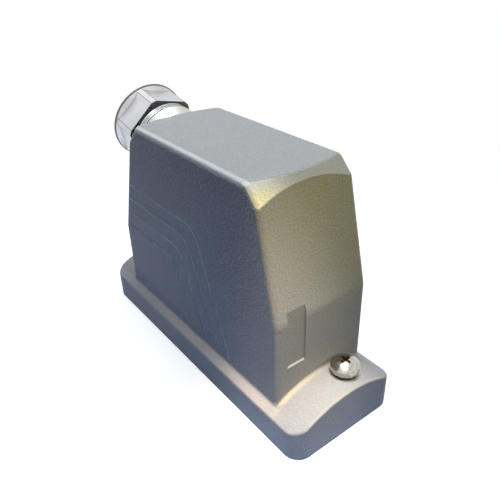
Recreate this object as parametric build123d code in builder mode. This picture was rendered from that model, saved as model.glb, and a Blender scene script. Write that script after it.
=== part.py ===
"""Heavy duty rectangular connector: a die-cast hood with a cable gland and a screw-terminal contact insert.

Millimetres. The origin is at the middle of the hood's rim, +X points along the length to the end
whose locking screw shows, and +Z points up from the rim. The gland leaves at the -X end.
"""
import os
from math import cos, radians, sin, tan

from build123d import *

os.makedirs("parts", exist_ok=True)

# Hood body: its cavity goes round the plate of the contact insert
insert_length = 110.6
insert_width = 34.0
wall = 3.6
insert_end_gap = 1.1
insert_side_gap = 2.9
body_length = insert_length + 2 * (insert_end_gap + wall)
body_width = insert_width + 2 * (insert_side_gap + wall)
body_height = 104.5
side_draft = 0.27
front_break_height = 54.0
front_lean = 13.4
front_break_radius = 12.0
rear_break_height = 48.0
rear_lean = 18.5
rear_break_radius = 60.0
side_edge_radius = 2.8
roof = 4.0
roof_edge_radius = 1.5
cavity_corner_radius = 2.0

# Arched bevel between the roof and each end
bevel_fall = 46.0
bevel_depth = 1.4
bevel_arch_radius = 98.0

# Flange
flange_reach = 16.0
flange_brim = 3.75
flange_length = body_length + 2 * flange_reach
flange_width = body_width + 2 * flange_brim
rim_height = 13.1
crown_height = 21.7
flange_corner_radius = 7.0
flange_edge_radius = 1.2
cove_radius = 2.0

# Grooves on both long sides
groove_count = 4
groove_top = 73.7
groove_pitch = 7.9
groove_bend_x = 6.5
groove_lean = 22.0
groove_step_x = 6.4
groove_bend_radius = 10.0
groove_foot = 19.0
groove_width = 1.3
groove_depth = 0.6

# Recess in the front end
recess_left = -18.0
recess_right = -9.0
recess_foot = 32.5
recess_top = 66.0
recess_depth = 1.0

# Sealing groove in the rim
gasket_width = 3.0
gasket_height = 2.4
gasket_land = 1.0
gasket_gap = 0.05

# Locking screws
screw_reach = 6.5
screw_x = body_length / 2 + screw_reach
screw_y = 7.0
screw_seat_radius = 6.4
screw_seat_height = 20.6
screw_radius = 3.0
screw_waist_radius = 2.4
screw_thread_length = 6.0
screw_tip_height = 1.0
screw_hole_gap = 0.3
head_radius = 6.0
head_height = 4.6
head_edge_height = 2.0
recess_arm_width = 1.3
recess_arm_length = 4.8
cross_recess_depth = 1.7
plain_washer_radius = 6.2
plain_washer_thickness = 1.0
lock_washer_radius = 4.95
lock_washer_thickness = 1.6
lock_washer_slit = 0.9
washer_hole_gap = 0.2
retainer_radius = 4.6
retainer_thickness = 1.2
retainer_gap = 0.05
retainer_bore_gap = 0.1
lug_pocket_radius = 5.0
lug_pocket_height = 8.0
lug_step_height = 15.2

# Cable gland, along its own axis: zero is near the mouth of the cap nut, outwards is positive
gland_reach = 8.323
gland_drop = 11.9
gland_tilt = 12.0
entry_thread_radius = 12.6
entry_thread_length = 10.0
entry_wall = 2.4
collar_reach = 3.6
collar_radius = entry_thread_radius + collar_reach
boss_margin = 0.2
boss_radius = collar_radius + boss_margin
boss_length = 4.2
boss_taper = 2.2
boss_root_radius = boss_radius - boss_taper
spotface_gap = 0.5
boss_face = -7.0
gland_gasket_thickness = 0.9
gasket_inset = 0.6
collar_length = 2.8
collar_grooves = 2
collar_groove_depth = 0.45
collar_groove_width = 0.5
barrel_growth = 1.6
barrel_wall = 1.9
barrel_radius = entry_thread_radius + barrel_growth
barrel_length = 8.0
cage_seat = -2.0
cage_radius = barrel_radius - barrel_wall
cage_wall = 1.6
cage_flange_inset = 0.6
cage_flange_radius = barrel_radius - cage_flange_inset
cage_flange_thickness = 1.5
cage_flange_lift = 0.5
cage_slots = 8
cage_slot_width = 1.2
cage_slot_length = 6.5
seal_bore_radius = 7.5
fit_gap = 0.05
nut_wall = 1.95
nut_corner_rise = 3.6
nut_across_flats = 2 * (barrel_radius + nut_wall)
nut_across_corners = nut_across_flats + nut_corner_rise
nut_skirt = 1.0
nut_hex_length = 12.7
nut_collar_reach = 2.45
nut_collar_radius = nut_across_flats / 2 + nut_collar_reach
nut_collar_length = 1.7
nut_collar_slope = 1.2
nut_collar_edge = 0.6
nut_dome_edge = 1.2
nut_dome_growth = 0.3
nut_dome_radius = barrel_radius + nut_dome_growth
nut_length = 20.5
nut_turn = 13.0
nut_shoulder_gap = 0.3
nut_lip = 1.7
nut_mouth_radius = cage_radius - nut_lip

# Contact insert
insert_corner_radius = 1.5
insert_face_height = 2.0
insert_seat_height = 14.0
insert_plate_thickness = 3.0
mating_end_step = 8.3
mating_side_step = 4.75
terminal_end_step = 8.9
terminal_side_step = 1.5
mating_length = insert_length - 2 * mating_end_step
mating_width = insert_width - 2 * mating_side_step
terminal_length = insert_length - 2 * terminal_end_step
terminal_width = insert_width - 2 * terminal_side_step
terminal_height = 17.0
contact_rows = 2
contacts_per_row = 12
contact_end_margin = 6.3
contact_side_margin = 5.75
contact_pitch = (mating_length - 2 * contact_end_margin) / (contacts_per_row - 1)
contact_row_spacing = mating_width - 2 * contact_side_margin
contact_radius = 1.75
contact_bore_radius = 1.25
contact_set_back = 1.4
contact_gap = 0.05
clamp_block_side = 5.6
clamp_block_height = 8.0
clamp_block_rise = 3.0
wire_entry_side = 4.0
terminal_screw_radius = 1.5
terminal_screw_head_radius = 2.4
terminal_screw_head_height = 1.6
terminal_screw_length = 2.6
wire_hole_side = 2.8
wire_hole_length = 6.5
contact_bore_length = 9.0
terminal_screw_height = 7.0
driver_hole_length = 6.2
fixing_end_inset = 3.3
fixing_side_inset = 3.5
fixing_spacing_x = insert_length - 2 * fixing_end_inset
fixing_spacing_y = insert_width - 2 * fixing_side_inset
fixing_radius = 2.0
fixing_length = 12.0
fixing_head_radius = 3.5
fixing_head_height = 2.4
fixing_washer_thickness = 0.8
fixing_washer_radius = 3.4
pillar_margin = 4.75
pillar_top = 46.0
fixing_gap = 0.05
fixing_clearance = 0.2
earth_plate_width = 16.0
earth_plate_length = 8.4
earth_plate_thickness = 1.2
earth_plate_height = 14.0
earth_screw_radius = 2.0
earth_screw_length = 8.0
earth_head_radius = 3.6
earth_head_height = 2.4
earth_screw_rise = 8.5
slot_width = 0.9
slot_depth = 1.0


def end_profile(inset, top):
    """Corners of the side view, drawn inwards from the outside by inset and closed at height top."""
    corners = []
    for side, height, lean in (
        (1, front_break_height, front_lean),
        (-1, rear_break_height, rear_lean),
    ):
        slope = tan(radians(lean))
        vertical_x = body_length / 2 - inset
        break_z = height - inset * tan(radians(lean / 2))
        sloped_x = body_length / 2 - inset / cos(radians(lean)) - (top - height) * slope
        corners.append([(side * vertical_x, break_z), (side * sloped_x, top)])
    front, rear = corners
    return front, rear


def section_plane(y):
    """Plane parallel to XZ at y, with X to the right and Z up."""
    return Plane(origin=(0, y, 0), x_dir=(1, 0, 0), z_dir=(0, -1, 0))


def side_section(y, inset, top, front_radius, rear_radius):
    """Sketch at y of the hood's side view, at an inset from its outside."""
    front, rear = end_profile(inset, top)
    with BuildSketch(section_plane(y)) as section:
        with BuildLine():
            Polyline(
                (rear[0][0], 0), (front[0][0], 0), front[0], front[1], rear[1], rear[0], (rear[0][0], 0)
            )
        make_face()
        breaks = [v for v in section.vertices() if 1 < v.Y < top - 1]
        fillet([v for v in breaks if v.X > 0], front_radius)
        fillet([v for v in breaks if v.X < 0], rear_radius)
    return section.sketch


def width_section(inset, top):
    """Sketch of the hood's end view: the long sides lean in by the casting draft."""
    foot = body_width / 2 - inset
    head = foot - top * tan(radians(side_draft))
    with BuildSketch(Plane.YZ.offset(-body_length)) as section:
        with BuildLine():
            Polyline((-foot, 0), (foot, 0), (head, top), (-head, top), (-foot, 0))
        make_face()
    return section.sketch


def bevel_plane(side):
    """Plane square to the arched bevel at one end, at the centre of the arch."""
    front, rear = end_profile(0, body_height)
    corner_x = (front if side > 0 else rear)[1][0]
    fall = radians(bevel_fall)
    reach = bevel_depth + bevel_arch_radius
    centre = (corner_x - side * reach * sin(fall), 0, body_height - reach * cos(fall))
    return Plane(origin=centre, x_dir=(0, 1, 0), z_dir=(side * cos(fall), 0, -sin(fall)))


def gland_plane(distance):
    """Plane square to the gland's axis, at a distance outwards from the gland's zero."""
    tilt = radians(gland_tilt)
    origin = (gland_x - distance * cos(tilt), 0, gland_z + distance * sin(tilt))
    return Plane(origin=origin, x_dir=(0, 1, 0), z_dir=(-cos(tilt), 0, sin(tilt)))


def gland_profile(*points):
    """Face of the gland's turned profile: each point is a distance along the axis and a radius."""
    tilt = radians(gland_tilt)
    plane = Plane(origin=(gland_x, 0, gland_z), x_dir=(-cos(tilt), 0, sin(tilt)), z_dir=(0, 1, 0))
    with BuildSketch(plane) as profile:
        with BuildLine():
            Polyline(*points, points[0])
        make_face()
    return profile.sketch


def groove_path(number):
    """Corners of one side groove: along from the rear edge, round the bend and down to the flange."""
    height = groove_top - number * groove_pitch
    bend_x = groove_bend_x - number * groove_step_x
    foot_x = bend_x + (height - groove_foot) * tan(radians(groove_lean))
    return (-body_length / 2 - side_edge_radius, height), (bend_x, height), (foot_x, groove_foot)


def slotted_head(radius, height, shank_radius, shank_length):
    """Cheese-head screw with its head's underside on the XY plane and its shank below."""
    with BuildPart() as screw:
        Cylinder(radius, height, align=(Align.CENTER, Align.CENTER, Align.MIN))
        Cylinder(shank_radius, shank_length, align=(Align.CENTER, Align.CENTER, Align.MAX))
        with Locations((0, 0, height)):
            Box(2 * radius, slot_width, 2 * slot_depth, mode=Mode.SUBTRACT)
    return screw.part


def gasket_ring(gap):
    """Ring round the cavity's mouth, narrower than its groove by gap on both sides."""
    inner_length = body_length - 2 * wall + 2 * gasket_land + 2 * gap
    inner_width = body_width - 2 * wall + 2 * gasket_land + 2 * gap
    growth = 2 * (gasket_width - 2 * gap)
    with BuildSketch() as ring:
        RectangleRounded(
            inner_length + growth, inner_width + growth, cavity_corner_radius + gasket_land + gasket_width - gap
        )
        RectangleRounded(inner_length, inner_width, cavity_corner_radius + gasket_land + gap, mode=Mode.SUBTRACT)
    return ring.sketch


gland_z = body_height - gland_drop
gland_x = (gland_z - rear_break_height) * tan(radians(rear_lean)) - body_length / 2 - gland_reach
gland_axis = Axis(gland_plane(0).origin, gland_plane(0).z_dir)
entry_bore_radius = entry_thread_radius - entry_wall
screw_places = {"front": (screw_x, screw_y), "rear": (-screw_x, -screw_y)}
cavity_top = body_height - roof
pillar_length = (body_length - wall - fixing_spacing_x) / 2 + pillar_margin
pillar_width = (body_width - wall - fixing_spacing_y) / 2 + pillar_margin
head_rise = head_height - head_edge_height
crown_radius = (head_radius**2 + head_rise**2) / (2 * head_rise)
fixing_places = [
    (x, y)
    for x in (-fixing_spacing_x / 2, fixing_spacing_x / 2)
    for y in (-fixing_spacing_y / 2, fixing_spacing_y / 2)
]
contact_places = [
    (
        (column - (contacts_per_row - 1) / 2) * contact_pitch,
        (row - (contact_rows - 1) / 2) * contact_row_spacing,
    )
    for row in range(contact_rows)
    for column in range(contacts_per_row)
]
plate_top = insert_seat_height + insert_plate_thickness
terminal_top = plate_top + terminal_height
clamp_foot = plate_top + clamp_block_rise
screw_line = plate_top + terminal_screw_height
clamp_face = contact_row_spacing / 2 + clamp_block_side / 2
washer_top = screw_seat_height + plain_washer_thickness
head_seat = washer_top + lock_washer_thickness
collar_back = boss_face + gland_gasket_thickness
collar_front = collar_back + collar_length

# Side grooves: one cutter for both long sides
with BuildPart() as groove_cutter:
    draft = radians(side_draft)
    side_plane = Plane(origin=(0, -body_width / 2, 0), x_dir=(1, 0, 0), z_dir=(0, -cos(draft), sin(draft)))
    with BuildSketch(side_plane):
        for number in range(groove_count):
            with BuildLine():
                FilletPolyline(*groove_path(number), radius=groove_bend_radius)
            trace(line_width=groove_width)
    extrude(amount=groove_depth, both=True)
    mirror(about=Plane.XZ)

# Cavity: the same two views, drawn in by the wall
with BuildPart() as cavity:
    side_view = side_section(body_width, wall, cavity_top, front_break_radius, rear_break_radius)
    extrude(side_view, 2 * body_width)
    extrude(width_section(wall, cavity_top), 2 * body_length, mode=Mode.INTERSECT)
    side_faces = cavity.faces().filter_by(lambda f: abs(f.normal_at().Y) > 0.99)
    fillet(side_faces.edges().filter_by(lambda e: e.center().Z > 1), cavity_corner_radius)

# Pillars: their ends reach into the cavity's corners
with BuildPart() as pillars:
    with BuildSketch(Plane.XY.offset(plate_top)):
        with GridLocations(body_length - wall, body_width - wall, 2, 2):
            Rectangle(2 * pillar_length, 2 * pillar_width)
    extrude(amount=pillar_top - plate_top)
    with BuildSketch(Plane.XY.offset(plate_top)):
        Rectangle(body_length - wall, body_width - wall)
    extrude(amount=pillar_top - plate_top, mode=Mode.INTERSECT)

# Hood: one casting, from the tapered body down to the rim
with BuildPart() as hood:
    # Outer body: the side view, drafted in width and bevelled along two arches
    side_view = side_section(body_width, 0, body_height, front_break_radius, rear_break_radius)
    extrude(side_view, 2 * body_width)
    extrude(width_section(0, body_height), 2 * body_length, mode=Mode.INTERSECT)
    for side in (1, -1):
        with BuildSketch(bevel_plane(side).offset(-2 * body_length)):
            Circle(bevel_arch_radius)
        extrude(amount=4 * body_length, mode=Mode.INTERSECT)
    side_faces = hood.faces().filter_by(lambda f: abs(f.normal_at().Y) > 0.99)
    fillet(side_faces.edges().filter_by(lambda e: e.center().Z > 1), side_edge_radius)
    bevels = hood.faces().filter_by(GeomType.CYLINDER).filter_by(lambda f: f.center().Z > cavity_top)
    arches = bevels.filter_by(lambda f: abs(f.center().Y) < 1).edges().filter_by(GeomType.ELLIPSE)
    roof_arches = arches.filter_by(lambda e: abs(e.center().Y) < 1 and e.center().Z > body_height - bevel_depth / 2)
    fillet(roof_arches, roof_edge_radius)
    # Flange: the arched end view runs the whole length
    with BuildSketch(Plane.YZ.offset(-flange_length / 2)):
        with BuildLine():
            half = flange_width / 2
            Polyline((-half, rim_height), (-half, 0), (half, 0), (half, rim_height))
            ThreePointArc((half, rim_height), (0, crown_height), (-half, rim_height))
        make_face()
    extrude(amount=flange_length)
    ends = hood.faces().filter_by(Axis.X).filter_by(lambda f: abs(f.center().X) > body_length / 2 + 1)
    fillet(ends.edges().filter_by(Axis.Z), flange_corner_radius)
    above_rim = hood.edges().filter_by(lambda e: rim_height - 0.1 < e.center().Z < crown_height + 0.1)
    seam = above_rim.filter_by(
        lambda e: abs(e.center().X) < body_length / 2 + 0.1 and abs(e.center().Y) < body_width / 2
    )
    fillet(seam, cove_radius)
    above_rim = hood.edges().filter_by(lambda e: rim_height - 0.1 < e.center().Z < crown_height + 0.1)
    rim_edges = above_rim.filter_by(
        lambda e: abs(e.center().X) > flange_length / 2 - flange_corner_radius
        or abs(e.center().Y) > flange_width / 2 - 0.1
    )
    fillet(rim_edges, flange_edge_radius)
    # Boss that carries the gland, faced off square to its axis
    with BuildSketch(gland_plane(boss_face - boss_length)):
        Circle(boss_root_radius)
    with BuildSketch(gland_plane(boss_face)):
        Circle(boss_radius)
    loft()
    with BuildSketch(gland_plane(boss_face)):
        Circle(boss_radius + spotface_gap)
    extrude(amount=boss_radius, mode=Mode.SUBTRACT)
    # Grooves and recess
    add(groove_cutter.part, mode=Mode.SUBTRACT)
    with BuildSketch(Plane.YZ.offset(body_length / 2 - recess_depth)):
        with BuildLine():
            Polyline(
                (recess_left, recess_foot),
                (recess_right, recess_foot),
                (recess_right, recess_top),
                (recess_left, recess_top),
                (recess_left, recess_foot),
            )
        make_face()
    extrude(amount=body_length, mode=Mode.SUBTRACT)
    # Screw lugs: a flat seat on the arch, a stepped hole and a pocket that takes the mating post
    for x, y in screw_places.values():
        with BuildSketch(Plane.XY.offset(lug_step_height)):
            with Locations((x, y)):
                Circle(screw_seat_radius)
        extrude(amount=screw_seat_height - lug_step_height)
        with BuildSketch(Plane.XY.offset(screw_seat_height)):
            with Locations((x, y)):
                Circle(screw_seat_radius)
        extrude(amount=crown_height, mode=Mode.SUBTRACT)
        with BuildSketch(Plane.XY):
            with Locations((x, y)):
                Circle(screw_radius + screw_hole_gap)
        extrude(amount=crown_height, mode=Mode.SUBTRACT)
        with BuildSketch(Plane.XY):
            with Locations((x, y)):
                Circle(retainer_radius + retainer_gap)
        extrude(amount=lug_step_height, mode=Mode.SUBTRACT)
        with BuildSketch(Plane.XY):
            with Locations((x, y)):
                Circle(lug_pocket_radius)
        extrude(amount=lug_pocket_height, mode=Mode.SUBTRACT)
    # Cavity, the four pillars that carry the insert, and the gland's threaded hole
    add(cavity.part, mode=Mode.SUBTRACT)
    add(pillars.part)
    with BuildSketch(gland_plane(boss_face)):
        Circle(entry_thread_radius + fit_gap)
    extrude(amount=-2 * entry_thread_length, mode=Mode.SUBTRACT)
    with BuildSketch(Plane.XY.offset(plate_top)):
        with GridLocations(fixing_spacing_x, fixing_spacing_y, 2, 2):
            Circle(fixing_radius + fixing_gap)
    extrude(amount=fixing_length, mode=Mode.SUBTRACT)
    # Groove in the rim for the sealing ring
    with BuildSketch(Plane.XY):
        add(gasket_ring(0))
    extrude(amount=gasket_height, mode=Mode.SUBTRACT)

hood.part.label = "hood"
export_step(hood.part, "parts/hood.step")

with BuildPart() as rim_gasket:
    with BuildSketch(Plane.XY):
        add(gasket_ring(gasket_gap))
    extrude(amount=gasket_height)

rim_gasket.part.label = "rim_gasket"
export_step(rim_gasket.part, "parts/rim_gasket.step")

# Locking screws: head, waist and thread, each with its washers and the ring that keeps it captive
for end, (x, y) in screw_places.items():
    seat = Plane.XY.offset(screw_seat_height)
    with BuildPart() as locking_screw:
        with BuildSketch(Plane(origin=(x, y, 0), x_dir=(1, 0, 0), z_dir=(0, -1, 0))):
            with BuildLine():
                thread_top = screw_tip_height + screw_thread_length
                edge_top = head_seat + head_edge_height
                Polyline(
                    (0, head_seat + head_height),
                    (0, screw_tip_height),
                    (screw_radius, screw_tip_height),
                    (screw_radius, thread_top),
                    (screw_waist_radius, thread_top),
                    (screw_waist_radius, head_seat),
                    (head_radius, head_seat),
                    (head_radius, edge_top),
                )
                RadiusArc((head_radius, edge_top), (0, head_seat + head_height), -crown_radius)
            make_face()
        revolve(axis=Axis((x, y, 0), (0, 0, 1)))
        with BuildSketch(Plane.XY.offset(head_seat + head_height)):
            with Locations((x, y)):
                Rectangle(recess_arm_length, recess_arm_width)
                Rectangle(recess_arm_width, recess_arm_length)
        extrude(amount=-cross_recess_depth, mode=Mode.SUBTRACT)
    with BuildPart() as plain_washer:
        with BuildSketch(seat):
            with Locations((x, y)):
                Circle(plain_washer_radius)
                Circle(screw_radius + washer_hole_gap, mode=Mode.SUBTRACT)
        extrude(amount=plain_washer_thickness)
    with BuildPart() as lock_washer:
        with BuildSketch(Plane.XY.offset(washer_top)):
            with Locations((x, y)):
                Circle(lock_washer_radius)
                Circle(screw_radius + washer_hole_gap, mode=Mode.SUBTRACT)
            with Locations((x + lock_washer_radius, y)):
                Rectangle(2 * lock_washer_radius, lock_washer_slit, mode=Mode.SUBTRACT)
        extrude(amount=lock_washer_thickness)
    with BuildPart() as retainer:
        with BuildSketch(Plane.XY.offset(lug_step_height)):
            with Locations((x, y)):
                Circle(retainer_radius)
                Circle(screw_waist_radius + retainer_bore_gap, mode=Mode.SUBTRACT)
        extrude(amount=-retainer_thickness)
    for piece, name in (
        (locking_screw, "locking_screw"),
        (plain_washer, "plain_washer"),
        (lock_washer, "lock_washer"),
        (retainer, "screw_retainer"),
    ):
        piece.part.label = f"{name}_{end}"
        export_step(piece.part, f"parts/{name}_{end}.step")

# Cable gland, turned on its own axis from the boss outwards
with BuildPart() as gland_gasket:
    with BuildSketch(gland_plane(boss_face)):
        Circle(collar_radius - gasket_inset)
        Circle(entry_thread_radius + fit_gap, mode=Mode.SUBTRACT)
    extrude(amount=gland_gasket_thickness)

gland_gasket.part.label = "gland_gasket"
export_step(gland_gasket.part, "parts/gland_gasket.step")

with BuildPart() as gland_body:
    back = collar_back - entry_thread_length
    revolve(
        gland_profile(
            (back, entry_bore_radius),
            (back, entry_thread_radius),
            (collar_back, entry_thread_radius),
            (collar_back, collar_radius),
            (collar_front, collar_radius),
            (collar_front, barrel_radius),
            (barrel_length, barrel_radius),
            (barrel_length, cage_radius + fit_gap),
            (cage_seat, cage_radius + fit_gap),
            (cage_seat, entry_bore_radius),
        ),
        axis=gland_axis,
    )
    for number in range(collar_grooves):
        centre = collar_back + (number + 1) * collar_length / (collar_grooves + 1)
        start = centre - collar_groove_width / 2
        revolve(
            gland_profile(
                (start, collar_radius + collar_groove_depth),
                (start, collar_radius - collar_groove_depth),
                (start + collar_groove_width, collar_radius - collar_groove_depth),
                (start + collar_groove_width, collar_radius + collar_groove_depth),
            ),
            axis=gland_axis,
            mode=Mode.SUBTRACT,
        )

gland_body.part.label = "gland_body"
export_step(gland_body.part, "parts/gland_body.step")

# Clamping cage: a flanged sleeve whose inner end is slotted into fingers
cage_flange_back = barrel_length + cage_flange_lift
cage_front = cage_flange_back + cage_flange_thickness
cage_foot = cage_seat + cage_flange_lift
with BuildPart() as gland_cage:
    revolve(
        gland_profile(
            (cage_foot, cage_radius - cage_wall),
            (cage_foot, cage_radius),
            (cage_flange_back, cage_radius),
            (cage_flange_back, cage_flange_radius),
            (cage_front, cage_flange_radius),
            (cage_front, cage_radius - cage_wall),
        ),
        axis=gland_axis,
    )
    with BuildSketch(gland_plane(cage_foot)):
        with PolarLocations(cage_radius, cage_slots):
            Rectangle(3 * cage_wall, cage_slot_width)
    extrude(amount=cage_slot_length, mode=Mode.SUBTRACT)

gland_cage.part.label = "gland_cage"
export_step(gland_cage.part, "parts/gland_cage.step")

with BuildPart() as gland_seal:
    seal_radius = cage_radius - cage_wall - fit_gap
    revolve(
        gland_profile(
            (cage_foot, seal_bore_radius),
            (cage_foot, seal_radius),
            (cage_front, seal_radius),
            (cage_front, seal_bore_radius),
        ),
        axis=gland_axis,
    )

gland_seal.part.label = "gland_seal"
export_step(gland_seal.part, "parts/gland_seal.step")

# Cap nut: six flats that run out on a round collar, then a dome round the cable
shoulder = cage_front + nut_shoulder_gap
collar_end = nut_hex_length + nut_collar_length
with BuildPart() as gland_nut:
    with BuildSketch(gland_plane(-nut_skirt)):
        RegularPolygon(nut_across_flats / 2, 6, major_radius=False, rotation=nut_turn)
        RegularPolygon(nut_across_corners / 2, 6, major_radius=False, rotation=nut_turn + 30, mode=Mode.INTERSECT)
    extrude(amount=nut_skirt + nut_hex_length)
    revolve(
        gland_profile(
            (nut_hex_length - nut_collar_slope, 0),
            (nut_hex_length - nut_collar_slope, nut_across_flats / 2),
            (nut_hex_length, nut_collar_radius - nut_collar_edge),
            (nut_hex_length + nut_collar_edge, nut_collar_radius),
            (collar_end - nut_collar_edge, nut_collar_radius),
            (collar_end, nut_collar_radius - nut_collar_edge),
            (nut_length - nut_dome_edge, nut_dome_radius),
            (nut_length, nut_dome_radius - nut_dome_edge),
            (nut_length, 0),
        ),
        axis=gland_axis,
    )
    revolve(
        gland_profile(
            (-nut_skirt, 0),
            (-nut_skirt, barrel_radius + fit_gap),
            (shoulder, barrel_radius + fit_gap),
            (shoulder, nut_mouth_radius),
            (nut_length, nut_mouth_radius),
            (nut_length, 0),
        ),
        axis=gland_axis,
        mode=Mode.SUBTRACT,
    )

gland_nut.part.label = "gland_nut"
export_step(gland_nut.part, "parts/gland_nut.step")

# Contact insert: the mating half with its mounting plate
with BuildPart() as contact_carrier:
    with BuildSketch(Plane.XY.offset(insert_seat_height)):
        RectangleRounded(insert_length, insert_width, insert_corner_radius)
    extrude(amount=insert_plate_thickness)
    with BuildSketch(Plane.XY.offset(insert_face_height)):
        RectangleRounded(mating_length, mating_width, insert_corner_radius)
    extrude(amount=insert_seat_height - insert_face_height)
    with BuildSketch(Plane.XY):
        with Locations(*contact_places):
            Circle(contact_radius + contact_gap)
        with Locations(*fixing_places):
            Circle(fixing_radius + fixing_clearance)
    extrude(amount=plate_top, mode=Mode.SUBTRACT)

contact_carrier.part.label = "contact_carrier"
export_step(contact_carrier.part, "parts/contact_carrier.step")

# The wiring half: a cell for each contact, a wire entry above it and a screwdriver hole beside it
with BuildPart() as terminal_block:
    with BuildSketch(Plane.XY.offset(plate_top)):
        RectangleRounded(terminal_length, terminal_width, insert_corner_radius)
    extrude(amount=terminal_height)
    with BuildSketch(Plane.XY.offset(plate_top)):
        with Locations(*contact_places):
            Rectangle(clamp_block_side + 2 * contact_gap, clamp_block_side + 2 * contact_gap)
    extrude(amount=clamp_block_rise + clamp_block_height, mode=Mode.SUBTRACT)
    with BuildSketch(Plane.XY.offset(plate_top)):
        with Locations(*contact_places):
            Rectangle(wire_entry_side, wire_entry_side)
    extrude(amount=terminal_height, mode=Mode.SUBTRACT)
    with BuildSketch(Plane.XZ.offset(-terminal_width / 2)):
        with Locations((0, screw_line)):
            with GridLocations(contact_pitch, 0, contacts_per_row, 1):
                Circle(terminal_screw_head_radius + contact_gap)
    extrude(amount=driver_hole_length, mode=Mode.SUBTRACT)
    mirror(about=Plane.XZ, mode=Mode.INTERSECT)
    with BuildSketch(Plane.YZ.offset(-terminal_length / 2)):
        with Locations((0, plate_top + earth_screw_rise)):
            Circle(earth_screw_radius + contact_gap)
    extrude(amount=earth_screw_length, mode=Mode.SUBTRACT)
    mirror(about=Plane.YZ, mode=Mode.INTERSECT)

terminal_block.part.label = "terminal_block"
export_step(terminal_block.part, "parts/terminal_block.step")

# Contacts: a socket barrel below and a square screw clamp above
with BuildPart() as contacts:
    barrel_foot = insert_face_height + contact_set_back
    with BuildSketch(Plane.XY.offset(barrel_foot)):
        with Locations(*contact_places):
            Circle(contact_radius)
    extrude(amount=clamp_foot - barrel_foot)
    with BuildSketch(Plane.XY.offset(clamp_foot)):
        with Locations(*contact_places):
            Rectangle(clamp_block_side, clamp_block_side)
    extrude(amount=clamp_block_height)
    with BuildSketch(Plane.XY.offset(barrel_foot)):
        with Locations(*contact_places):
            Circle(contact_bore_radius)
    extrude(amount=contact_bore_length, mode=Mode.SUBTRACT)
    with BuildSketch(Plane.XY.offset(clamp_foot + clamp_block_height)):
        with Locations(*contact_places):
            Rectangle(wire_hole_side, wire_hole_side)
    extrude(amount=-wire_hole_length, mode=Mode.SUBTRACT)
    with BuildSketch(Plane.XZ.offset(-clamp_face)):
        with Locations((0, screw_line)):
            with GridLocations(contact_pitch, 0, contacts_per_row, 1):
                Circle(terminal_screw_radius)
    extrude(amount=terminal_screw_length, mode=Mode.SUBTRACT)
    mirror(about=Plane.XZ, mode=Mode.INTERSECT)

contacts.part.label = "contacts"
export_step(contacts.part, "parts/contacts.step")

with BuildPart() as terminal_screws:
    for side in (1, -1):
        seat = Plane(origin=(0, side * clamp_face, screw_line), x_dir=(1, 0, 0), z_dir=(0, side, 0))
        for radius, reach in (
            (terminal_screw_head_radius, terminal_screw_head_height),
            (terminal_screw_radius, -terminal_screw_length),
        ):
            with BuildSketch(seat):
                with GridLocations(contact_pitch, 0, contacts_per_row, 1):
                    Circle(radius)
            extrude(amount=reach)

terminal_screws.part.label = "terminal_screws"
export_step(terminal_screws.part, "parts/terminal_screws.step")

# Earth plates: bent strips that stand against the ends of the wiring half
plate_foot_x = terminal_length / 2
for end, side in (("front", 1), ("rear", -1)):
    with BuildPart() as earth_plate:
        with BuildSketch(section_plane(earth_plate_width / 2)):
            with BuildLine():
                Polyline(
                    (side * plate_foot_x, plate_top),
                    (side * plate_foot_x, plate_top + earth_plate_height),
                    (side * (plate_foot_x + earth_plate_thickness), plate_top + earth_plate_height),
                    (side * (plate_foot_x + earth_plate_thickness), plate_top + earth_plate_thickness),
                    (side * (plate_foot_x + earth_plate_length), plate_top + earth_plate_thickness),
                    (side * (plate_foot_x + earth_plate_length), plate_top),
                    (side * plate_foot_x, plate_top),
                )
            make_face()
        extrude(amount=earth_plate_width)
        with BuildSketch(Plane.YZ):
            with Locations((0, plate_top + earth_screw_rise)):
                Circle(earth_screw_radius + fixing_clearance)
        extrude(amount=side * body_length, mode=Mode.SUBTRACT)
    earth_plate.part.label = f"earth_plate_{end}"
    export_step(earth_plate.part, f"parts/earth_plate_{end}.step")

earth_screw = slotted_head(earth_head_radius, earth_head_height, earth_screw_radius, earth_screw_length)
with BuildPart() as earth_screws:
    for side in (1, -1):
        seat_x = side * (plate_foot_x + earth_plate_thickness)
        with Locations(Plane(origin=(seat_x, 0, plate_top + earth_screw_rise), z_dir=(side, 0, 0))):
            add(earth_screw)

earth_screws.part.label = "earth_screws"
export_step(earth_screws.part, "parts/earth_screws.step")

# Screws that hold the insert up against the pillars, each on its washer
with BuildPart() as fixing_washers:
    with BuildSketch(Plane.XY.offset(insert_seat_height)):
        with Locations(*fixing_places):
            Circle(fixing_washer_radius)
            Circle(fixing_radius + fixing_clearance, mode=Mode.SUBTRACT)
    extrude(amount=-fixing_washer_thickness)

fixing_washers.part.label = "fixing_washers"
export_step(fixing_washers.part, "parts/fixing_washers.step")

fixing_screw = slotted_head(fixing_head_radius, fixing_head_height, fixing_radius, fixing_length)
with BuildPart() as fixing_screws:
    for x, y in fixing_places:
        with Locations(Plane(origin=(x, y, insert_seat_height - fixing_washer_thickness), z_dir=(0, 0, -1))):
            add(fixing_screw)

fixing_screws.part.label = "fixing_screws"
export_step(fixing_screws.part, "parts/fixing_screws.step")
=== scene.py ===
"""Looks of the heavy duty rectangular connector: finishes, fine threads, studio and camera."""
from math import cos, pi, radians, sin

import bpy
from mathutils import Matrix, Vector

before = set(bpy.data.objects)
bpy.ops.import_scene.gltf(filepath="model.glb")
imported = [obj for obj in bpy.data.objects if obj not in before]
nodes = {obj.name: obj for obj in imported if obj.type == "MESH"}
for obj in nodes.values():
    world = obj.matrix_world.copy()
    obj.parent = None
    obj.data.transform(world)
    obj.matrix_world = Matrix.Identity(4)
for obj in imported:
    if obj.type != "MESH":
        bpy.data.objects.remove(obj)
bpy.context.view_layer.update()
MM = 0.001

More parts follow.
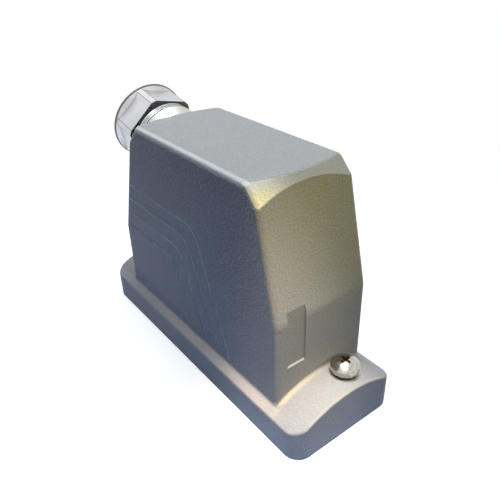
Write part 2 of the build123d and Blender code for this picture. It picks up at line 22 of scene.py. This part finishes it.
# The hood, in millimetres. A lean is how far a face comes in for each millimetre that it rises.
BODY_HALF_LENGTH = 60.0
BODY_HALF_WIDTH = 23.5
BODY_HEIGHT = 104.5
SIDE_LEAN = 0.004712
FRONT_BREAK_HEIGHT = 54.0
FRONT_LEAN = 0.238
REAR_BREAK_HEIGHT = 48.0
REAR_LEAN = 0.3346
BEVEL_FOOT = 96.8
BEVEL_START = 41.0
GROOVES_FOOT = 19.0
GROOVES_TOP = 75.0
GROOVES_END = 41.0
FLANGE_HALF_LENGTH = 76.0
ARCH_RADIUS = 47.47
ARCH_DROP = 25.77

# The gland, along its axis from the foot of the neck, and the locking screws
GLAND_ORIGIN = (-53.40, 0.0, 92.60)
GLAND_TILT = radians(12)
GLAND_PITCH = 1.5
BOSS_FACE = -7.0
BOSS_LENGTH = 4.2
FACED_RADIUS = 17.0
NECK_LENGTH = 8.0
NECK_RADIUS = 14.2
NUT_FOOT = -1.0
NUT_TURN = 13.0
NUT_HEXAGON_MIDDLE = 5.8
NUT_CORNER_RADIUS = 17.5
NUT_RING_FOOT = 12.0
NUT_RING_RADIUS = 18.6
SCREW_CENTRE = (66.5, 7.0)
SCREW_PITCH = 1.0
SCREW_CORE_RADIUS = 2.6
SCREW_THREAD_TOP = 7.0
CROSS_REACH = 2.5
CROSS_FOOT = 24.0
CROSS_TOP = 27.3


# Shader writing

class Signal:
    """One output of a shader node. Arithmetic on it adds the Math nodes that do it."""

    def __init__(self, finish, socket):
        self.finish = finish
        self.socket = socket

    def _maths(self, operation, *values):
        return self.finish.node("ShaderNodeMath", {"operation": operation}, dict(enumerate(values)))

    def __add__(self, other):
        return self._maths("ADD", self, other)

    def __radd__(self, other):
        return self._maths("ADD", other, self)

    def __sub__(self, other):
        return self._maths("SUBTRACT", self, other)

    def __rsub__(self, other):
        return self._maths("SUBTRACT", other, self)

    def __mul__(self, other):
        return self._maths("MULTIPLY", self, other)

    def __rmul__(self, other):
        return self._maths("MULTIPLY", other, self)

    def __pow__(self, other):
        return self._maths("POWER", self, other)

    def __rpow__(self, other):
        return self._maths("POWER", other, self)

    def at_least(self, other):
        return self._maths("MAXIMUM", self, other)

    def size(self):
        return self._maths("ABSOLUTE", self)

    def ramp(self, low, high, first=0.0, last=1.0):
        """Smooth step from first to last as the signal goes from low to high."""
        return self.finish.node(
            "ShaderNodeMapRange",
            {"interpolation_type": "SMOOTHSTEP", "clamp": True},
            {"Value": self, "From Min": low, "From Max": high, "To Min": first, "To Max": last},
        )

    def fall(self, low, high):
        """Smooth step from 1 down to 0 as the signal goes from low to high."""
        return self.ramp(low, high, 1.0, 0.0)

    def within(self, middle, half_width, soft):
        """1 where the signal is within half_width of middle, fading over soft."""
        return (self - middle).size().fall(half_width, half_width + soft)


class Finish:
    """A procedural material, with its shader's own sockets set by name."""

    def __init__(self, name, **values):
        self.material = bpy.data.materials.new(name)
        self.material.use_nodes = True
        self.tree = self.material.node_tree
        self.shader = self.tree.nodes["Principled BSDF"]
        self.wear(**values)

    def wear(self, **values):
        """Sets or feeds the shader's sockets by name."""
        for socket, value in values.items():
            self.feed(self.shader.inputs[socket.replace("_", " ")], value)

    def feed(self, socket, value):
        """Links a signal to a socket, or sets the socket to a value. A colour gets its alpha of 1."""
        if isinstance(value, Signal):
            self.tree.links.new(value.socket, socket)
        elif hasattr(socket.default_value, "__len__") and len(socket.default_value) == 4:
            socket.default_value = (*value[:3], 1.0)
        else:
            socket.default_value = value

    def node(self, kind, settings=None, inputs=None, output=0):
        """Adds a node: its settings first, then the values or signals of its sockets."""
        made = self.tree.nodes.new(kind)
        for name, value in (settings or {}).items():
            setattr(made, name, value)
        for name, value in (inputs or {}).items():
            self.feed(made.inputs[name], value)
        return Signal(self, made.outputs[output])

    def parts_of(self, vector):
        made = self.node("ShaderNodeSeparateXYZ", inputs={"Vector": vector}).socket.node
        return [Signal(self, socket) for socket in made.outputs]

    def place(self):
        """The point in the part's own frame, in metres."""
        return self.node("ShaderNodeTexCoord", output="Object")

    def place_mm(self):
        """The three coordinates of the point, in millimetres."""
        to_mm = (1 / MM, 1 / MM, 1 / MM)
        return self.parts_of(
            self.node("ShaderNodeVectorMath", {"operation": "MULTIPLY"}, {0: self.place(), 1: to_mm})
        )

    def angle(self, rise, run):
        """Angle of a direction, in radians."""
        return self.node("ShaderNodeMath", {"operation": "ARCTAN2"}, {0: rise, 1: run})

    def round_gland(self):
        """Distance along the gland's axis, distance from it, and angle round it in degrees."""
        x, y, z = self.place_mm()
        dx, dz = x - GLAND_ORIGIN[0], z - GLAND_ORIGIN[2]
        along = dz * sin(GLAND_TILT) - dx * cos(GLAND_TILT)
        rise = dx * sin(GLAND_TILT) + dz * cos(GLAND_TILT)
        return along, (rise * rise + y * y) ** 0.5, self.angle(rise, y) * (180 / pi)

    def noise(self, size, detail=3.0, roughness=0.5):
        """Cloudy noise with lumps of about a size in millimetres, from 0 to 1."""
        inputs = {"Vector": self.place(), "Scale": 1 / (size * MM), "Detail": detail}
        return self.node("ShaderNodeTexNoise", inputs={**inputs, "Roughness": roughness})

    def pebbles(self, size, smoothness):
        """Distance to the nearest of many scattered points, about a size in millimetres apart."""
        inputs = {"Vector": self.place(), "Scale": 1 / (size * MM), "Smoothness": smoothness}
        return self.node("ShaderNodeTexVoronoi", {"feature": "SMOOTH_F1"}, inputs)

    def blend(self, amount, first, second):
        """Colour between first and second."""
        return self.node("ShaderNodeMix", {"data_type": "RGBA"}, {0: amount, 6: first, 7: second}, output=2)

    def thread(self, along, pitch):
        """Height of a thread's flanks, from 0 to 1, along an axis in millimetres."""
        flank = self.node("ShaderNodeMath", {"operation": "PINGPONG"}, {0: along, 1: pitch / 2})
        return flank * (2 / pitch)

    def relief(self, height, depth, normal=None):
        """Bump whose full height is depth in millimetres."""
        inputs = {"Height": height, "Distance": depth * MM, "Strength": 1.0}
        if normal:
            inputs["Normal"] = normal
        return self.node("ShaderNodeBump", inputs=inputs)


# Finishes

def painted_highlights_on_body(coat):
    """Painted highlights on the body, where light catches the roof's edge, the bevel, the upright edges and
    the groove floors: pairs of an amount and a colour.
    """
    x, y, z = coat.place_mm()
    # How deep the point lies under each face of the body
    below_side = (BODY_HALF_WIDTH - z * SIDE_LEAN) - y.size()
    below_roof = BODY_HEIGHT - z
    below_front = (BODY_HALF_LENGTH - (z - FRONT_BREAK_HEIGHT).at_least(0.0) * FRONT_LEAN) - x
    below_rear = x + BODY_HALF_LENGTH - (z - REAR_BREAK_HEIGHT).at_least(0.0) * REAR_LEAN

    # painted highlight: a light line along the fillet between the roof and the side
    roof_edge = below_roof.fall(0.5, 1.3) * below_side.fall(1.5, 2.8) * below_side.ramp(0.3, 0.9)
    # painted reflection: a warm light line down the upright edges at the front end
    upright_edge = below_front.size().fall(0.9, 2.1) * below_side.fall(0.7, 1.9) * z.ramp(18.0, 30.0)
    # painted glint on the bevel at the roof's front end, warm at its foot and only on the right half
    bevel = below_front.ramp(0.05, 0.35) * below_roof.ramp(0.1, 0.4) * below_side.ramp(0.3, 0.9)
    bevel = bevel * x.ramp(BEVEL_START - 1.0, BEVEL_START + 1.0) * z.ramp(BEVEL_FOOT - 0.6, BEVEL_FOOT + 0.6)
    right_half = y.fall(-23.0, -3.0)
    glint_colour = coat.blend(below_roof.ramp(1.0, 4.5), (0.92, 0.93, 0.90), (0.98, 0.91, 0.56))
    # painted highlight: the floors of the side grooves drawn as light lines, fading towards the bottom
    groove_floors = below_side.within(0.45, 0.30, 0.06)
    groove_height = z.within((GROOVES_FOOT + GROOVES_TOP) / 2, (GROOVES_TOP - GROOVES_FOOT) / 2, 0.5)
    groove_reach = below_rear.ramp(2.8, 3.3) * x.fall(GROOVES_END, GROOVES_END + 1.0)
    grooves = groove_floors * groove_height * groove_reach
    return [
        (roof_edge * 0.9, (0.80, 0.80, 0.80)),
        (bevel * right_half * 0.85, glint_colour),
        (upright_edge * 0.3, (0.58, 0.52, 0.38)),
        (grooves * z.ramp(12.0, 60.0, 0.5, 1.0), (0.95, 0.97, 1.0)),
    ]


def painted_highlights_on_flange(coat):
    """Painted highlights on the flange: the cove at the body's end, the brim along it and the edge of the
    arch.
    """
    x, y, z = coat.place_mm()
    above_centre = z + ARCH_DROP
    above_arch = (y * y + above_centre * above_centre) ** 0.5 - ARCH_RADIUS
    # painted highlight: a golden band in the cove at the body's end, strongest on the right
    cove = above_arch.within(0.9, 0.4, 0.7) * x.within(BODY_HALF_LENGTH + 0.9, 0.6, 0.9)
    # painted highlight: a light line along the brim of the flange beside the body
    brim = y.size().ramp(BODY_HALF_WIDTH - 0.2, BODY_HALF_WIDTH + 0.5) * above_arch.within(0.0, 0.9, 0.5)
    # painted highlight: a thin light line on the edge of the arch at the flange's end
    arch_edge = above_arch.within(-0.25, 0.35, 0.3)
    flange_face = x.ramp(FLANGE_HALF_LENGTH - 1.1, FLANGE_HALF_LENGTH - 0.5)
    return [
        (cove * y.ramp(-22.0, 6.0, 1.0, 0.2) * 0.8, (0.95, 0.84, 0.60)),
        (brim * x.ramp(-60.0, 40.0, 0.15, 0.65) * x.fall(52.0, 68.0), (0.70, 0.62, 0.58)),
        (arch_edge * flange_face * 0.35, (0.80, 0.78, 0.62)),
    ]


def hood_paint():
    """Silver-grey powder coat over a cast leather grain. Painted highlights are blended into its colour
    along the casting's edges, in the side grooves and on the flange, and the boss of the gland is faced to
    bare metal."""
    coat = Finish("hood_paint", Specular_IOR_Level=0.10)
    hollows = coat.pebbles(0.85, smoothness=0.6).ramp(0.20, 0.70)
    fine = coat.noise(0.40, detail=2.0)
    drift = coat.noise(40.0, detail=2.0)
    colour = coat.blend(drift.ramp(0.3, 0.7), (0.415, 0.418, 0.42), (0.435, 0.435, 0.433))
    colour = coat.blend(hollows * 0.16, colour, (0.22, 0.22, 0.225))
    # painted highlights on the body and the flange, blended one by one into the coat's colour
    for amount, bright in painted_highlights_on_body(coat) + painted_highlights_on_flange(coat):
        colour = coat.blend(amount, colour, bright)
    along, from_axis, _ = coat.round_gland()
    faced = along.ramp(BOSS_FACE - BOSS_LENGTH, BOSS_FACE - BOSS_LENGTH + 0.3)
    faced = faced * from_axis.fall(FACED_RADIUS - 0.1, FACED_RADIUS + 0.1)
    grain = ((1.0 - hollows) * 0.8 + fine * 0.2) * (1.0 - faced)
    coat.wear(
        Base_Color=coat.blend(faced, colour, (0.62, 0.63, 0.58)),
        Metallic=faced,
        Roughness=0.32 + hollows * 0.12 + fine * 0.08,
        Normal=coat.relief(grain, 0.075),
    )
    return coat.material


def satin_nickel():
    """Nickel-plated brass of the gland, as turned and lightly tumbled. Painted shade darkens the ring's
    edge, the end that faces the hood and the ridges of the hexagon, which are also made rougher there."""
    metal = Finish("satin_nickel", Metallic=1.0)
    mottle = metal.noise(6.0)
    scratch = metal.noise(0.5, detail=2.0)
    along, from_axis, angle = metal.round_gland()
    colour = metal.blend(mottle.ramp(0.3, 0.7), (0.57, 0.58, 0.60), (0.63, 0.64, 0.66))
    ring_edge = from_axis.ramp(NUT_RING_RADIUS - 0.6, NUT_RING_RADIUS - 0.35)
    ring_edge = ring_edge * along.ramp(NUT_RING_FOOT, NUT_RING_FOOT + 0.4)
    end_face = along.within(NUT_FOOT, 0.25, 0.1)
    half_flat = 180 / 6
    wrapped = {0: angle + NUT_TURN, 1: half_flat, 2: -half_flat}
    past_ridge = metal.node("ShaderNodeMath", {"operation": "WRAP"}, wrapped)
    ridge = past_ridge.size().within(4.4, 0.35, 0.3) * along.within(NUT_HEXAGON_MIDDLE, 6.4, 0.3)
    ridge = ridge * from_axis.ramp(NUT_CORNER_RADIUS - 0.1, NUT_CORNER_RADIUS + 0.1)
    # painted shade: dark outline on the ring's edge, the end facing the hood and lines along the hexagon's
    # ridges
    painted_shade = ring_edge.at_least(end_face).at_least(ridge * 0.75)
    on_neck = along.within(NECK_LENGTH / 2, 3.6, 0.2) * from_axis.fall(NECK_RADIUS + 0.3, NECK_RADIUS + 0.4)
    thread = metal.thread(along - angle * (GLAND_PITCH / 360), GLAND_PITCH) * on_neck
    metal.wear(
        Base_Color=metal.blend(painted_shade, colour, (0.14, 0.14, 0.14)),
        Roughness=0.24 + mottle * 0.1 + scratch * 0.05 + painted_shade * 0.15,
        Normal=metal.relief(thread, 0.6, metal.relief(scratch, 0.004)),
    )
    return metal.material


def screw_nickel():
    """Bright plate on the locking screws, with rolled threads and brown painted shade in the cross of the
    head.
    """
    metal = Finish("screw_nickel", Metallic=1.0)
    mottle = metal.noise(1.6, detail=4.0, roughness=0.6)
    x, y, z = metal.place_mm()
    which_end = x.ramp(-1.0, 1.0, -1.0, 1.0)
    dx = x - which_end * SCREW_CENTRE[0]
    dy = y - which_end * SCREW_CENTRE[1]
    from_axis = (dx * dx + dy * dy) ** 0.5
    on_thread = z.fall(SCREW_THREAD_TOP - 0.2, SCREW_THREAD_TOP)
    on_thread = on_thread * from_axis.ramp(SCREW_CORE_RADIUS, SCREW_CORE_RADIUS + 0.2)
    thread = metal.thread(z - metal.angle(dy, dx) * (SCREW_PITCH / (2 * pi)), SCREW_PITCH) * on_thread
    # painted shade: the cross recess of the head is coloured dark brown and made rougher
    cross = from_axis.fall(CROSS_REACH, CROSS_REACH + 0.3)
    cross = cross * z.ramp(CROSS_FOOT, CROSS_FOOT + 0.2) * z.fall(CROSS_TOP - 0.2, CROSS_TOP)
    colour = metal.blend(mottle.ramp(0.3, 0.7), (0.44, 0.41, 0.37), (0.60, 0.57, 0.52))
    metal.wear(
        Base_Color=metal.blend(cross, colour, (0.15, 0.07, 0.045)),
        Roughness=0.13 + mottle * 0.16 + cross * 0.3,
        Normal=metal.relief(thread, 0.45, metal.relief(mottle, 0.012)),
    )
    return metal.material


def bright_nickel():
    """Polished nickel plate on the insert's small screws."""
    metal = Finish("bright_nickel", Metallic=1.0)
    mottle = metal.noise(2.0)
    colour = metal.blend(mottle.ramp(0.3, 0.7), (0.62, 0.60, 0.56), (0.72, 0.70, 0.66))
    metal.wear(Base_Color=colour, Roughness=0.12 + mottle * 0.12, Normal=metal.relief(mottle, 0.01))
    return metal.material


def blackened_steel():
    """Black-oxide spring steel of the split washers."""
    metal = Finish("blackened_steel", Metallic=0.6)
    mottle = metal.noise(1.2)
    colour = metal.blend(mottle.ramp(0.3, 0.7), (0.018, 0.017, 0.016), (0.05, 0.046, 0.042))
    metal.wear(Base_Color=colour, Roughness=0.38 + mottle * 0.15, Normal=metal.relief(mottle, 0.01))
    return metal.material


def zinc_plate():
    """Zinc-plated washers and earth plates."""
    metal = Finish("zinc_plate", Metallic=0.85)
    mottle = metal.noise(1.6, detail=4.0, roughness=0.6)
    colour = metal.blend(mottle.ramp(0.3, 0.7), (0.60, 0.60, 0.61), (0.76, 0.76, 0.75))
    metal.wear(Base_Color=colour, Roughness=0.34 + mottle * 0.16, Normal=metal.relief(mottle, 0.008))
    return metal.material


def silver_plate():
    """Silver-plated contacts, a little tarnished."""
    metal = Finish("silver_plate", Metallic=1.0)
    tarnish = metal.noise(2.5, detail=4.0)
    colour = metal.blend(tarnish.ramp(0.35, 0.75), (0.80, 0.78, 0.73), (0.62, 0.58, 0.50))
    metal.wear(Base_Color=colour, Roughness=0.2 + tarnish * 0.18)
    return metal.material


def black_rubber():
    """Moulded sealing rubber."""
    rubber = Finish("black_rubber")
    bloom = rubber.noise(4.0)
    pores = rubber.noise(0.3, detail=2.0)
    colour = rubber.blend(bloom.ramp(0.35, 0.7), (0.02, 0.02, 0.021), (0.038, 0.038, 0.037))
    rubber.wear(Base_Color=colour, Roughness=0.6 + bloom * 0.2, Normal=rubber.relief(pores, 0.02))
    return rubber.material


def natural_nylon():
    """Undyed moulded nylon."""
    nylon = Finish("natural_nylon")
    cloud = nylon.noise(3.0)
    colour = nylon.blend(cloud.ramp(0.3, 0.7), (0.70, 0.68, 0.60), (0.78, 0.76, 0.69))
    nylon.wear(Base_Color=colour, Roughness=0.42 + cloud * 0.14, Normal=nylon.relief(cloud, 0.02))
    return nylon.material


def insert_plastic():
    """Light grey moulded polycarbonate of the contact insert, spark-eroded matt."""
    plastic = Finish("insert_plastic")
    cloud = plastic.noise(9.0)
    erosion = plastic.noise(0.22, detail=2.0)
    colour = plastic.blend(cloud.ramp(0.3, 0.7), (0.50, 0.50, 0.47), (0.57, 0.57, 0.54))
    plastic.wear(Base_Color=colour, Roughness=0.45 + erosion * 0.15, Normal=plastic.relief(erosion, 0.012))
    return plastic.material


PIECES_IN = {
    hood_paint: ["hood"],
    satin_nickel: ["gland_body", "gland_nut"],
    screw_nickel: ["locking_screw_front", "locking_screw_rear"],
    bright_nickel: ["terminal_screws", "earth_screws", "fixing_screws"],
    blackened_steel: ["lock_washer_front", "lock_washer_rear"],
    zinc_plate: [
        "plain_washer_front",
        "plain_washer_rear",
        "earth_plate_front",
        "earth_plate_rear",
        "fixing_washers",
    ],
    silver_plate: ["contacts"],
    black_rubber: ["rim_gasket", "gland_gasket", "gland_seal"],
    natural_nylon: ["gland_cage", "screw_retainer_front", "screw_retainer_rear"],
    insert_plastic: ["contact_carrier", "terminal_block"],
}


def dress(pieces, material):
    for piece in pieces:
        for slot in nodes[piece].material_slots:
            slot.material = material


for make_finish, pieces in PIECES_IN.items():
    dress(pieces, make_finish())


# Studio

class Sky(Finish):
    """The world's nodes, with the same ways of adding them."""

    def __init__(self, name):
        world = bpy.data.worlds.new(name)
        world.use_nodes = True
        self.tree = world.node_tree
        self.tree.nodes.remove(self.tree.nodes["Background"])
        bpy.context.scene.world = world


def seen_directly(finish):
    """1 for the camera's rays and for those that metal and glass reflect or pass on."""
    path = finish.node("ShaderNodeLightPath").socket.node.outputs
    camera_ray, glossy_ray, passing_ray = [
        Signal(finish, path[name]) for name in ("Is Camera Ray", "Is Glossy Ray", "Is Transmission Ray")
    ]
    return camera_ray.at_least(glossy_ray).at_least(passing_ray)


def studio_sky():
    """Dim cool room light under a pale sky; what looks at it directly sees a white backdrop."""
    sky = Sky("studio")
    height = sky.parts_of(sky.node("ShaderNodeTexCoord", output="Generated"))[2]
    room = sky.blend(height.ramp(-0.2, 0.9), (0.008, 0.020, 0.045), (0.27, 0.33, 0.42))
    dim = sky.node("ShaderNodeBackground", inputs={"Color": room, "Strength": 0.35})
    white = sky.node("ShaderNodeBackground", inputs={"Color": (1, 1, 1), "Strength": 1.0})
    whole = sky.node("ShaderNodeMixShader", inputs={0: seen_directly(sky), 1: dim, 2: white})
    sky.feed(sky.tree.nodes["World Output"].inputs["Surface"], whole)


def floor_finish():
    """White to the camera with the part's shadow near it; the light that it gives back is cool and low."""
    sheet = Finish("floor_white", Base_Color=(0.75, 0.77, 0.80), Roughness=0.9)
    lit = Signal(sheet, sheet.shader.outputs[0])
    from_middle = sheet.node("ShaderNodeVectorMath", {"operation": "LENGTH"}, {0: sheet.place()}, output=1)
    glow = sheet.node("ShaderNodeEmission", inputs={"Color": (1, 1, 1), "Strength": 0.60})
    near = sheet.node("ShaderNodeAddShader", inputs={0: lit, 1: glow})
    far = sheet.node("ShaderNodeEmission", inputs={"Color": (1, 1, 1), "Strength": 1.0})
    shown = sheet.node("ShaderNodeMixShader", inputs={0: from_middle.ramp(0.12, 0.35), 1: near, 2: far})
    cool = sheet.blend(from_middle.ramp(0.05, 0.30), (0.07, 0.19, 0.52), (0.025, 0.07, 0.18))
    bounce = sheet.node("ShaderNodeBsdfDiffuse", inputs={"Color": cool})
    whole = sheet.node("ShaderNodeMixShader", inputs={0: seen_directly(sheet), 1: bounce, 2: shown})
    sheet.feed(sheet.tree.nodes["Material Output"].inputs["Surface"], whole)
    return sheet.material


def studio_floor():
    mesh = bpy.data.meshes.new("floor")
    reach = 3.0
    corners = [(-reach, -reach, 0), (reach, -reach, 0), (reach, reach, 0), (-reach, reach, 0)]
    mesh.from_pydata(corners, [], [(0, 1, 2, 3)])
    floor = bpy.data.objects.new("floor", mesh)
    bpy.context.collection.objects.link(floor)
    mesh.materials.append(floor_finish())


def aimed(name, lamp, place, aim):
    holder = bpy.data.objects.new(name, lamp)
    bpy.context.collection.objects.link(holder)
    holder.location = Vector(place)
    holder.rotation_euler = (Vector(aim) - Vector(place)).to_track_quat("-Z", "Y").to_euler()


def softbox(name, place, aim, width, height, power, colour):
    lamp = bpy.data.lights.new(name, "AREA")
    lamp.shape = "RECTANGLE"
    lamp.size = width
    lamp.size_y = height
    lamp.energy = power
    lamp.color = colour
    aimed(name, lamp, place, aim)


def narrow_lamp(name, place, aim, angle, radius, power, colour):
    lamp = bpy.data.lights.new(name, "SPOT")
    lamp.spot_size = radians(angle)
    lamp.spot_blend = 1.0
    lamp.shadow_soft_size = radius
    lamp.energy = power
    lamp.color = colour
    aimed(name, lamp, place, aim)


def lamps():
    """A large cool light overhead and a warm strip behind; narrow warm ones on the end and the flange."""
    softbox(
        "overhead",
        place=(-0.05, 0.05, 0.72),
        aim=(0.0, 0.0, 0.05),
        width=0.40,
        height=0.32,
        power=3.5,
        colour=(0.88, 0.94, 1.0),
    )
    softbox(
        "rear_strip",
        place=(-0.50, -0.10, 0.50),
        aim=(0.0, -0.01, 0.09),
        width=0.10,
        height=0.30,
        power=0.6,
        colour=(1.0, 0.96, 0.97),
    )
    narrow_lamp(
        "end_lamp",
        place=(0.80, 0.16, 0.20),
        aim=(0.056, 0.0, 0.092),
        angle=10.5,
        radius=0.05,
        power=9.5,
        colour=(1.0, 0.80, 0.03),
    )
    narrow_lamp(
        "corner_lamp",
        place=(0.13, -0.06, 0.42),
        aim=(0.073, -0.023, 0.014),
        angle=14.5,
        radius=0.015,
        power=9.5,
        colour=(1.0, 0.88, 0.76),
    )


def camera():
    """The photograph's view: turned 53 degrees round the part and 30.5 above it."""
    place_mm = (175.368, -119.663, 176.950)
    azimuth, elevation, roll = radians(53.016), radians(30.533), radians(-1.5575)
    focal, centre_x, centre_y, frame_size = 542.18, 253.10, 247.23, 500
    back = Vector((sin(azimuth) * cos(elevation), -cos(azimuth) * cos(elevation), sin(elevation)))
    level = Vector((cos(azimuth), sin(azimuth), 0))
    upright = back.cross(level)
    right = level * cos(roll) + upright * sin(roll)
    up = upright * cos(roll) - level * sin(roll)
    data = bpy.data.cameras.new("camera")
    data.sensor_width = 36
    data.lens = focal / frame_size * data.sensor_width
    data.shift_x = (frame_size / 2 - centre_x) / frame_size
    data.shift_y = (centre_y - frame_size / 2) / frame_size
    data.clip_start = 0.01
    eye = bpy.data.objects.new("camera", data)
    bpy.context.collection.objects.link(eye)
    turn = Matrix((right, up, back)).transposed().to_4x4()
    eye.matrix_world = Matrix.Translation(Vector(place_mm) * MM) @ turn
    bpy.context.scene.camera = eye


studio_sky()
studio_floor()
lamps()
camera()
bpy.context.scene.view_settings.view_transform = "Standard"
